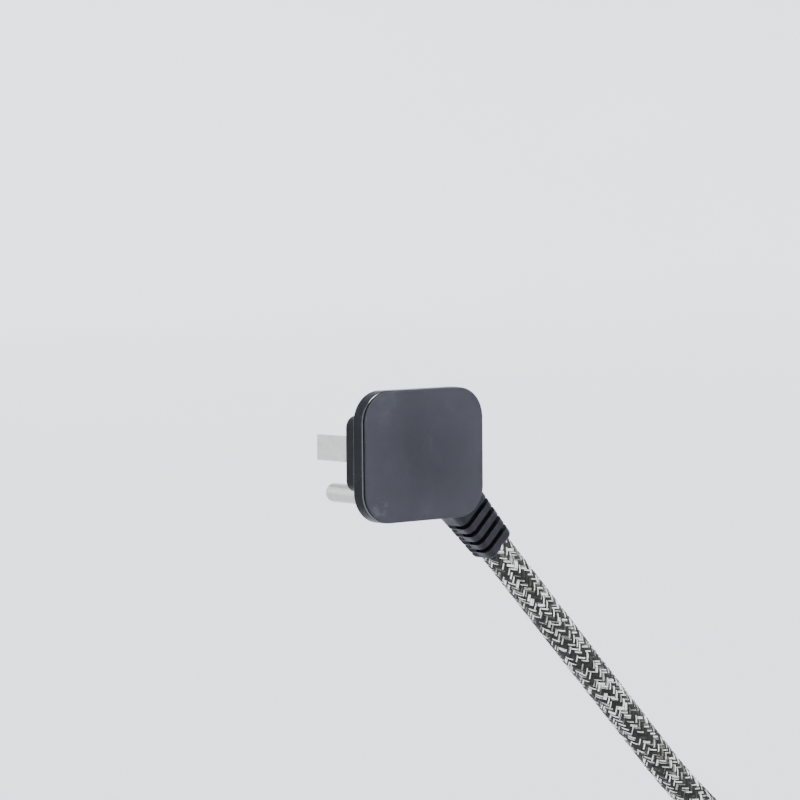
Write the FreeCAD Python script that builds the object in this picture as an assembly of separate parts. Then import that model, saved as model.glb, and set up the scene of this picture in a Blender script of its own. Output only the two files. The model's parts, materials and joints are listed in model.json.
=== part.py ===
"""Low angled wall plug on a braided cord, with a switched smart socket at the cord's other end.

Millimetres, +Z up. The wall's receptacle face is the plane y = 0 and the plug stands off it
towards -Y. The origin is midway between the two flat blades, on the face that meets the
receptacle. The spare cord lies wound in a coil, and the socket lies beside it, on a flat
surface below the plug.
"""

import FreeCAD
import Part
import math
import os

V = FreeCAD.Vector

# ---- plug head: distances named *_OFF are measured off the receptacle face, towards -Y
HEAD_WIDTH = 38.0
HEAD_TOP = 15.4
HEAD_BOTTOM = -16.7
HEAD_CORNER = 7.7
SLAB_BACK_OFF = 11.0
SLAB_SEAM_OFF = 14.65
COVER_RIM_OFF = 15.1
SLAB_FRONT_OFF = 15.75
HEAD_WALL = 1.6
FLOOR = 1.8
COVER_EDGE_ROUND = 0.6
COVER_INSET = 0.05
SEAM_DEPTH = 0.7
SHELL_RIM_ROUND = 0.5
COVER_LIP = 1.0
PEDESTAL_WIDTH = 24.0
PEDESTAL_TOP = 8.7
PEDESTAL_BOTTOM = -10.0
PEDESTAL_CORNER = 3.0
LOBE_RADIUS = 4.3

# ---- standard three-pin pattern, shared by the plug and by the socket at the far end
BLADE_SPACING = 12.7
BLADE_HEIGHT = 6.35
BLADE_THICKNESS = 1.5
BLADE_REACH = 17.8
BLADE_INNER = 6.1
GROUND_DROP = 11.9
GROUND_RADIUS = 2.38
GROUND_REACH = 21.0
GROUND_NECK_RADIUS = 2.2
GROUND_NECK_END = 0.3
MOULD_GAP = 0.05

# ---- cord: exit from the plug's strain relief, then its route down to the surface
CORD_DIAMETER = 8.4
SURFACE_Z = -130.0
CORD_EXIT = (26.73, -10.4, -25.10)
CORD_ROUTE = [
    CORD_EXIT,
    (95.94, -10.4, -97.27),
    (123.4, -10.4, -117.2),
    (150.0, -10.4, -125.8),
    (168.0, -10.4, -125.8),
]
COIL_TURNS = 5.5
COIL_PITCH = 8.5
COIL_OUTER_LINE = 57.2
COIL_LAYERS = 2
TIE_WIDTH = 10.0
TIE_THICKNESS = 1.0
SHEATH_RADIUS = 2.8
CORE_RADIUS = 1.1
CORE_TURN = -12.6
FERRULE_RADIUS = 1.5
LINE_FERRULE_Z = (2.6, 6.6)
NEUTRAL_FERRULE_X = (-8.6, -4.4)

# ---- strain relief, the same moulding at both ends; s runs outwards along the cord
RELIEF_END = 22.3
RELIEF_WIDE_FROM = 4.0
RELIEF_HALF_WIDE = 5.7
RELIEF_HALF_END = 4.7
RELIEF_HALF_ROOT = 4.6
RELIEF_HALF_FLANGE = 6.0
RELIEF_FLANGE = 1.7
RELIEF_DEPTH = 8.3
RELIEF_EDGE_ROUND = 2.0
RELIEF_END_ROUND = 1.2
GROOVE_FIRST = 9.6
GROOVE_PITCH = 3.07
GROOVE_WIDTH = 1.2
GROOVE_COUNT = 4
GROOVE_DEEP_SIDE = 1.1
GROOVE_DEEP_FACE = 0.8
GROOVE_WEB = 0.4
PLUG_FLANGE_END = -6.3
SOCKET_FLANGE_END = 1.6

# ---- smart socket: its face looks along -X and its cord enters at the +X end
BODY_FACE_X = 8.0
BODY_END_X = 76.0
BODY_WIDTH = 38.0
BODY_HEIGHT = 25.2
BODY_CORNER = 7.0
BODY_WALL = 2.0
FACE_THICKNESS = 3.0
SLOT_WIDTH = 2.1
NEUTRAL_SLOT = 8.0
LINE_SLOT = 7.0
GROUND_HOLE = 2.6
SLOT_RISE = 4.8
SHUTTER_TRAVEL = 3.0
SHUTTER_X = (11.3, 12.9)
SPRING_RADIUS = 0.75
SPRING_WIRE = 0.14
SPRING_COILS = 5
CARRIER_X = (13.2, 33.0)
CONTACT_X = (15.0, 30.0)
BOARD_THICKNESS = 1.6
BOARD_RISE = 3.2
BUTTON_X = 48.0
BUTTON_RADIUS = 5.0
BUTTON_TRAVEL = 0.8
BUTTON_PROUD = 0.6
PIPE_X = 59.2
PIPE_RADIUS = 1.5
CLAMP_X = (67.5, 71.5)
BOARD_RIBS = (38.0, 62.0)

HALF_CORD = CORD_DIAMETER / 2
HALF_SPACING = BLADE_SPACING / 2
FERRULE_BORE = CORE_RADIUS * 0.7
FERRULE_OFF = BLADE_INNER + FERRULE_RADIUS
GROUND_FERRULE_OFF = (BLADE_INNER, BLADE_INNER + 4.2)
HEAD_X = (-HEAD_WIDTH / 2, HEAD_WIDTH / 2)
HEAD_Z = (HEAD_BOTTOM, HEAD_TOP)
COIL_INNER_LINE = COIL_OUTER_LINE - COIL_PITCH * COIL_TURNS / 2
COIL_X = CORD_ROUTE[-1][0]
COIL_Y = CORD_ROUTE[-1][1] - COIL_OUTER_LINE
COIL_TOP = SURFACE_Z + CORD_DIAMETER * COIL_LAYERS
BODY_Y = COIL_Y - COIL_OUTER_LINE
BODY_Z = SURFACE_Z + BODY_HEIGHT / 2
SLOT_Z = BODY_Z + SLOT_RISE
GROUND_Z = SLOT_Z - GROUND_DROP
BOARD_TOP = SURFACE_Z + BODY_WALL + BOARD_RISE
SWITCH_TOP = BOARD_TOP + 3.5
PLUNGER_TOP = SWITCH_TOP + 1.3
PLUNGER_LOW = SWITCH_TOP - 1.2
SHELL_X = (BODY_FACE_X + FACE_THICKNESS, BODY_END_X)
CEILING = SURFACE_Z + BODY_HEIGHT - BODY_WALL
BOSSES = [(x, BODY_Y + side) for x in (17.5, 69.0) for side in (-13.4, 13.4)]
CLAMP_POSTS = [(sum(CLAMP_X) / 2, BODY_Y + side) for side in (-6.3, 6.3)]


# ---- plain shapes


def box(x, y, z):
    return Part.makeBox(x[1] - x[0], y[1] - y[0], z[1] - z[0], V(x[0], y[0], z[0]))


def around(centre, half):
    return (centre - half, centre + half)


def off_wall(near, far):
    return (-far, -near)


def rounded_box(x, y, z, corner, axis):
    """A box whose four edges along the axis are rounded."""
    solid = box(x, y, z)
    index = "xyz".index(axis)
    edges = [e for e in solid.Edges if abs(e.Curve.Direction[index]) > 0.9]
    return solid.makeFillet(corner, edges)


def rounded_end(solid, index, position, radius):
    """Rounds the edges that lie in the plane where the coordinate has that position."""
    edges = [
        e for e in solid.Edges if all(abs(v.Point[index] - position) < 1e-6 for v in e.Vertexes)
    ]
    return solid.makeFillet(radius, edges)


def rod(start, end, radius):
    way = V(*end) - V(*start)
    return Part.makeCylinder(radius, way.Length, V(*start), way)


def sleeve(start, end, outer, inner):
    return rod(start, end, outer).cut(rod(start, end, inner))


def joined(solids):
    whole = solids[0]
    for solid in solids[1:]:
        whole = whole.fuse(solid)
    return whole.removeSplitter()


def route_edges(points):
    """Straight runs joined by tangent arcs, with each arc as large as its two runs allow."""
    points = [V(*p) for p in points]
    edges = []
    radii = []
    here = points[0]
    for before, corner, after in zip(points, points[1:], points[2:]):
        back = before - corner
        ahead = after - corner
        shorter = min(back.Length, ahead.Length)
        back.normalize()
        ahead.normalize()
        turn = math.pi - back.getAngle(ahead)
        reach = 0.45 * shorter
        radii.append(reach / math.tan(turn / 2))
        first = corner + back * reach
        last = corner + ahead * reach
        inward = (back + ahead).normalize()
        dip = radii[-1] * (1 / math.cos(turn / 2) - 1)
        edges.append(Part.LineSegment(here, first).toShape())
        edges.append(Part.Arc(first, corner + inward * dip, last).toShape())
        here = last
    edges.append(Part.LineSegment(here, points[-1]).toShape())
    return edges, radii


def route_tube(points, radius):
    """A round tube along the route, with its length and its smallest bend."""
    edges, radii = route_edges(points)
    wire = Part.Wire(edges)
    start = V(*points[0])
    circle = Part.makeCircle(radius, start, V(*points[1]) - start)
    solid = wire.makePipeShell([Part.Wire(circle)], True, False)
    return solid, wire.Length, radii


# ---- strain relief, made along +X with its depth along Z, then put in place


def relief_taper(grow):
    """The tapered part that shows outside the case, with its mouth at RELIEF_END."""
    low = -RELIEF_DEPTH / 2 - grow
    points = [
        V(RELIEF_WIDE_FROM - grow, -RELIEF_HALF_WIDE - grow, low),
        V(RELIEF_WIDE_FROM - grow, RELIEF_HALF_WIDE + grow, low),
        V(RELIEF_END, RELIEF_HALF_END + grow, low),
        V(RELIEF_END, -RELIEF_HALF_END - grow, low),
    ]
    face = Part.Face(Part.makePolygon(points + points[:1]))
    return face.extrude(V(0, 0, RELIEF_DEPTH + 2 * grow))


def relief_root(flange_end, grow):
    """The narrower root inside the case, with the flange that holds it there."""
    depth = around(0, RELIEF_DEPTH / 2 + grow)
    root = box(
        (flange_end - 0.5, RELIEF_WIDE_FROM + 0.5), around(0, RELIEF_HALF_ROOT + grow), depth
    )
    flange_x = (flange_end - RELIEF_FLANGE - grow, flange_end + grow)
    return joined([root, box(flange_x, around(0, RELIEF_HALF_FLANGE + grow), depth)])


def relief_space(flange_end, grow):
    """The room that the moulding takes up in a case, with a gap round it."""
    return joined([relief_taper(grow), relief_root(flange_end, grow)])


def is_long(edge):
    ends = sorted(v.X for v in edge.Vertexes)
    return ends[1] - ends[0] > 10


def groove_cutters():
    """Grooves round the front half, and others half a pitch on round the back half."""
    wide = RELIEF_HALF_WIDE + 2
    deep = RELIEF_DEPTH / 2 + 1
    taper = (RELIEF_HALF_WIDE - RELIEF_HALF_END) / (RELIEF_END - RELIEF_WIDE_FROM)
    core_face = RELIEF_DEPTH / 2 - GROOVE_DEEP_FACE
    cutters = []
    for index in range(GROOVE_COUNT):
        for shift, z in ((0.0, (GROOVE_WEB, deep)), (0.5, (-deep, -GROOVE_WEB))):
            s = GROOVE_FIRST + GROOVE_PITCH * (index + shift)
            if s + GROOVE_WIDTH > RELIEF_END:
                continue
            half = RELIEF_HALF_WIDE - taper * (s - RELIEF_WIDE_FROM) - GROOVE_DEEP_SIDE
            ring = box(around(s, GROOVE_WIDTH / 2), (-wide, wide), z)
            core = rounded_box(
                around(s, GROOVE_WIDTH), (-half, half), (-core_face, core_face), 1.2, "x"
            )
            cutters.append(ring.cut(core))
    return cutters


def strain_relief(flange_end):
    taper = relief_taper(0.0)
    taper = taper.makeFillet(RELIEF_EDGE_ROUND, [e for e in taper.Edges if is_long(e)])
    taper = rounded_end(taper, 0, RELIEF_END, RELIEF_END_ROUND)
    solid = joined([taper, relief_root(flange_end, 0.0)])
    for cutter in groove_cutters():
        solid = solid.cut(cutter)
    bore = rod((-20, 0, 0), (RELIEF_END + 1, 0, 0), SHEATH_RADIUS + MOULD_GAP / 2)
    return solid.cut(bore)


def plug_relief_place():
    """The strain relief's frame on the plug: X along the cord's first run, Z off the wall."""
    along = V(*CORD_ROUTE[1]) - V(*CORD_EXIT)
    along.normalize()
    start = V(*CORD_EXIT) - along * RELIEF_END
    m = FreeCAD.Matrix()
    m.A11, m.A21, m.A31 = along.x, along.y, along.z
    m.A12, m.A22, m.A32 = -along.z, 0, along.x
    m.A13, m.A23, m.A33 = 0, -1, 0
    m.A14, m.A24, m.A34 = start.x, start.y, start.z
    return FreeCAD.Placement(m)


def socket_relief_place():
    start = BODY_END_X - RELIEF_WIDE_FROM + MOULD_GAP
    return FreeCAD.Placement(V(start, BODY_Y, BODY_Z), FreeCAD.Rotation())


def placed(solid, place):
    moved = solid.copy()
    moved.Placement = place.multiply(moved.Placement)
    return moved


PLUG_RELIEF = plug_relief_place()
SOCKET_RELIEF = socket_relief_place()


def at_plug(s, across, depth):
    return tuple(PLUG_RELIEF.multVec(V(s, across, depth)))


def core_spots():
    """Places of the three insulated cores in the cord, round its line."""
    ring = CORE_RADIUS * 2 / math.sqrt(3) + 0.03
    turns = [math.radians(90 + 120 * k) for k in range(3)]
    return [(ring * math.cos(a), ring * math.sin(a)) for a in turns]


# ---- plug head


def plug_outline(x, z, corner, near, far):
    return rounded_box(x, off_wall(near, far), z, corner, "y")


def inset(span, amount):
    return (span[0] + amount, span[1] - amount)


def head_layer(shrink, near, far):
    """Slab with the head's outline, drawn in all round."""
    x = inset(HEAD_X, shrink)
    z = inset(HEAD_Z, shrink)
    return plug_outline(x, z, HEAD_CORNER - shrink, near, far)


def plug_front_cover():
    """Cover whose rim stands clear of the rear shell's, with a lip that locates inside it."""
    rim = head_layer(COVER_INSET, COVER_RIM_OFF, SLAB_FRONT_OFF)
    rim = rounded_end(rim, 1, -SLAB_FRONT_OFF, COVER_EDGE_ROUND)
    seat = head_layer(SEAM_DEPTH, SLAB_SEAM_OFF, COVER_RIM_OFF)
    gap = HEAD_WALL + 0.1
    lip_from = SLAB_SEAM_OFF - 1.6
    outer = head_layer(gap, lip_from, SLAB_SEAM_OFF)
    inner = head_layer(gap + COVER_LIP, lip_from - 1, SLAB_SEAM_OFF)
    lip = outer.cut(inner).cut(placed(relief_space(PLUG_FLANGE_END, 0.4), PLUG_RELIEF))
    return joined([rim, seat, lip])


def pedestal_solid(shrink, near, far):
    """Pedestal with its lobe round the ground pin, shrunk all round by the wall."""
    x = inset((-PEDESTAL_WIDTH / 2, PEDESTAL_WIDTH / 2), shrink)
    z = inset((PEDESTAL_BOTTOM, PEDESTAL_TOP), shrink)
    main = plug_outline(x, z, PEDESTAL_CORNER - shrink / 2, near, far)
    radius = LOBE_RADIUS - shrink
    neck = box((-radius, radius), off_wall(near, far), (-GROUND_DROP, -GROUND_DROP / 2))
    lobe = rod((0, -near, -GROUND_DROP), (0, -far, -GROUND_DROP), radius)
    return joined([main, neck, lobe])


def relief_housing():
    """Block at the pedestal's corner that holds the strain relief's root from behind."""
    half = RELIEF_HALF_ROOT + 2.0
    depth = (-RELIEF_DEPTH / 2 - 1.2, -(SLAB_BACK_OFF + CORD_EXIT[1]))
    block = box((PLUG_FLANGE_END + 0.1, RELIEF_WIDE_FROM - 0.1), (-half, half), depth)
    return placed(block, PLUG_RELIEF)


def plug_rear_shell():
    slab = head_layer(0, SLAB_BACK_OFF, SLAB_SEAM_OFF)
    slab = rounded_end(slab, 1, -SLAB_SEAM_OFF, SHELL_RIM_ROUND)
    slab = rounded_end(slab, 1, -SLAB_BACK_OFF, SHELL_RIM_ROUND)
    outer = joined([slab, pedestal_solid(0, 0, SLAB_BACK_OFF + 1)])
    hollow_slab = head_layer(HEAD_WALL, SLAB_BACK_OFF + HEAD_WALL, SLAB_SEAM_OFF + 1)
    shell = outer.cut(hollow_slab).cut(pedestal_solid(1.5, FLOOR, SLAB_SEAM_OFF + 1))
    shell = shell.fuse(relief_housing()).removeSplitter()
    shell = shell.cut(placed(relief_space(PLUG_FLANGE_END, MOULD_GAP), PLUG_RELIEF))
    for side in (-HALF_SPACING, HALF_SPACING):
        shell = shell.cut(blade(side, MOULD_GAP))
    return shell.cut(
        rod((0, 1, -GROUND_DROP), (0, -FLOOR - 1, -GROUND_DROP), GROUND_RADIUS + MOULD_GAP)
    )


def blade(x, grow=0.0):
    y = (-BLADE_INNER, BLADE_REACH)
    half_thick = BLADE_THICKNESS / 2 + grow
    half_high = BLADE_HEIGHT / 2 + grow
    solid = box(around(x, half_thick), y, (-half_high, half_high))
    if grow:
        return solid
    tip = [e for e in solid.Edges if all(abs(v.Y - BLADE_REACH) < 1e-6 for v in e.Vertexes)]
    return solid.makeChamfer(0.45, tip)


def blade_bridge():
    """Moulded bar inside the pedestal that holds the two flat blades apart."""
    bar = plug_outline((-9.6, 9.6), (-4.3, 4.3), 1.5, FLOOR + MOULD_GAP, 4.9)
    for side in (-HALF_SPACING, HALF_SPACING):
        bar = bar.cut(blade(side, MOULD_GAP / 2))
    return bar


def ground_pin():
    """Round pin with a narrower neck through the shell's floor and a collar behind it."""
    z = -GROUND_DROP
    pin = rod((0, GROUND_NECK_END, z), (0, GROUND_REACH, z), GROUND_RADIUS)
    pin = rounded_end(pin, 1, GROUND_REACH, 1.7)
    neck = rod((0, -BLADE_INNER, z), (0, GROUND_NECK_END, z), GROUND_NECK_RADIUS)
    collar = rod((0, -FLOOR - MOULD_GAP, z), (0, -FLOOR - 1.2, z), 2.7)
    return joined([pin, neck, collar])




def crimp_ferrules():
    line_x = HALF_SPACING
    spans = [
        ((line_x, -FERRULE_OFF, LINE_FERRULE_Z[0]), (line_x, -FERRULE_OFF, LINE_FERRULE_Z[1])),
        ((NEUTRAL_FERRULE_X[0], -FERRULE_OFF, 0), (NEUTRAL_FERRULE_X[1], -FERRULE_OFF, 0)),
        ((0, -GROUND_FERRULE_OFF[0], -GROUND_DROP), (0, -GROUND_FERRULE_OFF[1], -GROUND_DROP)),
    ]
    return Part.makeCompound([sleeve(a, b, FERRULE_RADIUS, FERRULE_BORE) for a, b in spans])


def plug_core(spot, route):
    """One insulated core, from the strain relief's mouth to its ferrule."""
    across, depth = spot
    start = at_plug(RELIEF_END - 0.3, across, depth)
    turn = at_plug(CORE_TURN, across, depth)
    return route_tube([start, turn] + route, CORE_RADIUS)[0]


def plug_line_core():
    x = HALF_SPACING
    end = (x, -FERRULE_OFF, LINE_FERRULE_Z[0])
    return plug_core(core_spots()[2], [(x, -FERRULE_OFF, -0.2), end])


def plug_neutral_core():
    end = (NEUTRAL_FERRULE_X[1], -FERRULE_OFF, 0)
    return plug_core(core_spots()[1], [(-0.8, -FERRULE_OFF, 0), end])


def plug_ground_core():
    end = (0, -GROUND_FERRULE_OFF[1], -GROUND_DROP)
    high = -GROUND_FERRULE_OFF[1] - 2.7
    return plug_core(core_spots()[0], [(-0.9, high, -3.2), (0, high, -GROUND_DROP), end])


def plug_inner_sheath():
    ends = at_plug(-9.5, 0, 0), at_plug(RELIEF_END, 0, 0)
    return sleeve(ends[0], ends[1], SHEATH_RADIUS, CORE_RADIUS * 2.155 + 0.08)


def jacket_clamp():
    ends = at_plug(-9.3, 0, 0), at_plug(-8.1, 0, 0)
    return sleeve(ends[0], ends[1], SHEATH_RADIUS + 0.55, SHEATH_RADIUS + 0.02)


def plug_strain_relief():
    return placed(strain_relief(PLUG_FLANGE_END), PLUG_RELIEF)


# ---- cord


def cord_run():
    solid, length, radii = route_tube(CORD_ROUTE, HALF_CORD)
    section = math.pi * HALF_CORD**2
    print("cord_run arc radii", [round(r, 1) for r in radii])
    print("cord_run volume / (section x length)", round(solid.Volume / (section * length), 5))
    print("cord_run length", round(length, 1))
    return solid


def cord_tie():
    """Flat strap round the bundle, on the coil's side that faces the socket."""
    outer_x = COIL_X - COIL_OUTER_LINE - HALF_CORD
    inner_x = COIL_X - COIL_INNER_LINE + HALF_CORD
    y = around(COIL_Y, TIE_WIDTH / 2)
    hole = box((outer_x - 0.2, inner_x + 0.6), y, (SURFACE_Z + TIE_THICKNESS, COIL_TOP))
    strap = rounded_box(
        (outer_x - 0.2 - TIE_THICKNESS, inner_x + 0.6 + TIE_THICKNESS),
        y,
        (SURFACE_Z, COIL_TOP + TIE_THICKNESS),
        0.8,
        "y",
    )
    return strap.cut(hole)


def cord_coil():
    """Outer shape of the wound turns, which lie in two layers."""
    outer = COIL_OUTER_LINE + HALF_CORD
    inner = COIL_INNER_LINE - HALF_CORD
    base = V(COIL_X, COIL_Y, SURFACE_Z)
    height = COIL_TOP - SURFACE_Z
    ring = Part.makeCylinder(outer, height, base).cut(Part.makeCylinder(inner, height, base))
    rims = [e for e in ring.Edges if e.Curve.TypeId == "Part::GeomCircle"]
    ring = ring.makeFillet(HALF_CORD * 0.9, rims)
    mean = (COIL_OUTER_LINE + COIL_INNER_LINE) / 2
    print("coil's wound length", round(2 * math.pi * mean * COIL_TURNS, 1))
    return ring.cut(cord_tie())


def cord_lead():
    start = (COIL_X, BODY_Y, COIL_TOP - HALF_CORD)
    end = (SOCKET_RELIEF.Base.x + RELIEF_END, BODY_Y, BODY_Z)
    print("cord_lead length", round((V(*start) - V(*end)).Length, 1))
    return rod(start, end, HALF_CORD)


# ---- smart socket: case


def case_box(x, shrink):
    y = inset(around(BODY_Y, BODY_WIDTH / 2), shrink)
    z = inset((SURFACE_Z, SURFACE_Z + BODY_HEIGHT), shrink)
    return rounded_box(x, y, z, BODY_CORNER - shrink, "x")


def case_half(low):
    outer = rounded_end(case_box(SHELL_X, 0), 0, BODY_END_X, 2.0)
    hollow = case_box((SHELL_X[0] - 1, BODY_END_X - BODY_WALL), BODY_WALL)
    z = (SURFACE_Z - 1, BODY_Z) if low else (BODY_Z, SURFACE_Z + BODY_HEIGHT + 1)
    keep = box((0, BODY_END_X + 1), around(BODY_Y, BODY_WIDTH), z)
    return outer.cut(hollow).common(keep)


def relief_hole():
    return placed(relief_space(SOCKET_FLANGE_END, MOULD_GAP), SOCKET_RELIEF)


def socket_lower_shell():
    shell = case_half(True)
    floor = SURFACE_Z + BODY_WALL - 0.5
    columns = [rod((x, y, floor), (x, y, BODY_Z), 3.2) for x, y in BOSSES]
    post_top = BODY_Z + SHEATH_RADIUS
    columns += [rod((x, y, floor), (x, y, post_top), 2.2) for x, y in CLAMP_POSTS]
    saddle_top = BODY_Z - SHEATH_RADIUS - 0.1
    columns.append(box(CLAMP_X, around(BODY_Y, 3.5), (floor, saddle_top)))
    for x in BOARD_RIBS:
        columns.append(box(around(x, 0.8), around(BODY_Y, 13), (floor, BOARD_TOP - BOARD_THICKNESS)))
    shell = joined([shell] + columns)
    for x, y in BOSSES:
        shell = shell.cut(rod((x, y, SURFACE_Z - 1), (x, y, SURFACE_Z + 4), 2.4))
        shell = shell.cut(rod((x, y, SURFACE_Z), (x, y, BODY_Z + 1), 1.35))
    for x, y in CLAMP_POSTS:
        shell = shell.cut(rod((x, y, BODY_Z - 5.6), (x, y, post_top + 1), 0.95))
    return shell.cut(relief_hole())


def socket_upper_shell():
    shell = case_half(False)
    columns = [rod((x, y, BODY_Z), (x, y, CEILING + 0.5), 2.8) for x, y in BOSSES]
    shell = joined([shell] + columns)
    for x, y in BOSSES:
        shell = shell.cut(rod((x, y, BODY_Z - 1), (x, y, CEILING - 2), 1.05))
    top = SURFACE_Z + BODY_HEIGHT + 1
    shell = shell.cut(rod((BUTTON_X, BODY_Y, CEILING - 1), (BUTTON_X, BODY_Y, top), BUTTON_RADIUS + 0.15))
    shell = shell.cut(rod((PIPE_X, BODY_Y, CEILING - 1), (PIPE_X, BODY_Y, top), PIPE_RADIUS + MOULD_GAP))
    return shell.cut(relief_hole())


def socket_slot(side, height, x):
    return box(x, around(BODY_Y + side, SLOT_WIDTH / 2), around(SLOT_Z, height / 2))


def socket_face():
    x = (BODY_FACE_X, SHELL_X[0] - MOULD_GAP)
    face = rounded_end(case_box(x, 0), 0, BODY_FACE_X, 1.0)
    tabs = []
    for side in (-1, 1):
        y = sorted((BODY_Y + side * 14.6, BODY_Y + side * (BODY_WIDTH / 2 - BODY_WALL - 0.1)))
        tabs.append(box((x[1] - 0.5, x[1] + 2.0), y, around(BODY_Z, 4.5)))
    face = joined([face] + tabs)
    through = (BODY_FACE_X - 1, x[1] + 1)
    face = face.cut(socket_slot(HALF_SPACING, NEUTRAL_SLOT, through))
    face = face.cut(socket_slot(-HALF_SPACING, LINE_SLOT, through))
    return face.cut(
        rod((through[0], BODY_Y, GROUND_Z), (through[1], BODY_Y, GROUND_Z), GROUND_HOLE)
    )


def screw(x, y, head_low, head_high, tip, head_radius, radius):
    """Pan-head screw with a cross recess; its head is at the end away from the tip."""
    top, under = (head_low, head_high) if tip > head_high else (head_high, head_low)
    body = rod((x, y, top), (x, y, under), head_radius).fuse(rod((x, y, under), (x, y, tip), radius))
    body = body.removeSplitter()
    deep = sorted((top + (0.7 if under > top else -0.7), top))
    for wide, narrow in ((1.2, 0.25), (0.25, 1.2)):
        body = body.cut(box(around(x, wide), around(y, narrow), deep))
    return body


def shell_screws():
    low = SURFACE_Z + 2.2
    return Part.makeCompound(
        [screw(x, y, low, SURFACE_Z + 4.0, CEILING - 2.5, 2.2, 1.0) for x, y in BOSSES]
    )


def cord_clamp_bar():
    low = BODY_Z + SHEATH_RADIUS + 0.05
    bar = rounded_box(CLAMP_X, around(BODY_Y, 8.6), (low, low + 2.4), 1.5, "z")
    for x, y in CLAMP_POSTS:
        bar = bar.cut(rod((x, y, low - 1), (x, y, low + 4), 1.0))
    return bar


def clamp_screws():
    top = BODY_Z + SHEATH_RADIUS + 0.05 + 2.4
    return Part.makeCompound(
        [screw(x, y, top, top + 1.2, BODY_Z - 5.0, 1.8, 0.9) for x, y in CLAMP_POSTS]
    )


def socket_strain_relief():
    return placed(strain_relief(SOCKET_FLANGE_END), SOCKET_RELIEF)


def socket_inner_sheath():
    end = SOCKET_RELIEF.Base.x + RELIEF_END
    return sleeve(
        (67.3, BODY_Y, BODY_Z), (end, BODY_Y, BODY_Z), SHEATH_RADIUS, CORE_RADIUS * 2.155 + 0.08
    )


def socket_core(spot, side, drop_x):
    """One core from the cord down to its pad on the circuit board."""
    across, depth = spot
    mouth = SOCKET_RELIEF.Base.x + RELIEF_END - 0.3
    points = [
        (mouth, BODY_Y + across, BODY_Z + depth),
        (drop_x + 2.2, BODY_Y + across, BODY_Z + depth),
        (drop_x, BODY_Y + side, BODY_Z + depth - 1.8),
        (drop_x, BODY_Y + side, BOARD_TOP),
    ]
    return route_tube(points, CORE_RADIUS)[0]


# ---- smart socket: shutter and contacts


def shutter():
    """Sliding plate whose two windows sit beside the slots until it is pushed across."""
    plate = box(SHUTTER_X, (BODY_Y - 9.6, BODY_Y + 12.2), around(SLOT_Z, 4.45))
    for side in (-HALF_SPACING, HALF_SPACING):
        y = around(BODY_Y + side + SHUTTER_TRAVEL, SLOT_WIDTH / 2 + 0.15)
        plate = plate.cut(box((SHUTTER_X[0] - 1, SHUTTER_X[1] + 1), y, around(SLOT_Z, 4.1)))
    return plate


def shutter_spring():
    start = BODY_Y - 14.5
    length = 4.8
    pitch = length / SPRING_COILS
    helix = Part.makeHelix(pitch, length, SPRING_RADIUS)
    first = helix.Edges[0]
    circle = Part.makeCircle(SPRING_WIRE, first.valueAt(first.FirstParameter), V(0, 1, 0))
    coil = Part.Wire(helix.Edges).makePipeShell([Part.Wire(circle)], True, True)
    coil.rotate(V(0, 0, 0), V(1, 0, 0), -90)
    coil.translate(V(sum(SHUTTER_X) / 2, start, SLOT_Z))
    return coil


def contact_carrier():
    body = box(CARRIER_X, around(BODY_Y, 9.9), (SURFACE_Z + BODY_WALL + 0.1, CEILING - 0.1))
    ledge_top = SLOT_Z - 4.45 - 0.15
    ledge = box(
        (SHUTTER_X[0] - 0.2, CARRIER_X[0] + 0.5), around(BODY_Y, 9.9), (ledge_top - 1.4, ledge_top)
    )
    body = joined([body, ledge])
    pocket_x = (CARRIER_X[0] - 3, CONTACT_X[1] + 0.1)
    for side in (-HALF_SPACING, HALF_SPACING):
        middle = BODY_Y + side
        body = body.cut(box((CARRIER_X[0] - 0.1, pocket_x[1]), around(middle, 1.55), around(SLOT_Z, 4.3)))
        tail_x = (pocket_x[1] - 1, CARRIER_X[1] + 1)
        body = body.cut(box(tail_x, around(middle, 0.45), around(SLOT_Z, 1.6)))
    hole = rod((pocket_x[0], BODY_Y, GROUND_Z), (pocket_x[1], BODY_Y, GROUND_Z), 3.15)
    slot = box((pocket_x[1] - 1, CARRIER_X[1] + 1), around(BODY_Y, 1.6), around(GROUND_Z, 0.45))
    return body.cut(hole).cut(slot)


def blade_contact(side):
    """Folded strip that grips a blade from both sides, with a tail down to the board."""
    y = BODY_Y + side
    outer = box(CONTACT_X, around(y, 1.45), around(SLOT_Z, 3.4))
    gap = box((CONTACT_X[0] - 1, CONTACT_X[1] - 0.6), around(y, 0.85), around(SLOT_Z, 4))
    tail = box((CONTACT_X[1] - 0.3, 35.6), around(y, 0.3), around(SLOT_Z, 1.4))
    leg = box((34.6, 35.6), around(y, 0.3), (BOARD_TOP, SLOT_Z + 1.4))
    return joined([outer.cut(gap), tail, leg])


def ground_contact():
    start = (CONTACT_X[0], BODY_Y, GROUND_Z)
    barrel = sleeve(start, (CONTACT_X[1], BODY_Y, GROUND_Z), 3.0, 2.5)
    back = rod((CONTACT_X[1] - 0.6, BODY_Y, GROUND_Z), (CONTACT_X[1], BODY_Y, GROUND_Z), 3.0)
    tail = box((CONTACT_X[1] - 0.3, 35.6), around(BODY_Y, 1.4), around(GROUND_Z, 0.3))
    slit = box((CONTACT_X[0] - 1, CONTACT_X[1] - 2), around(BODY_Y, 0.4), (GROUND_Z, GROUND_Z + 4))
    leg = box((34.6, 35.6), around(BODY_Y, 1.4), sorted((BOARD_TOP, GROUND_Z)))
    return joined([barrel.cut(slit), back, tail, leg])


# ---- smart socket: electronics


def circuit_board():
    board = box((34.2, 66.4), around(BODY_Y, 15.5), (BOARD_TOP - BOARD_THICKNESS, BOARD_TOP))
    for x, y in BOSSES[2:]:
        board = board.cut(rod((x, y, BOARD_TOP - 3), (x, y, BOARD_TOP + 1), 3.5))
    return board


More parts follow.
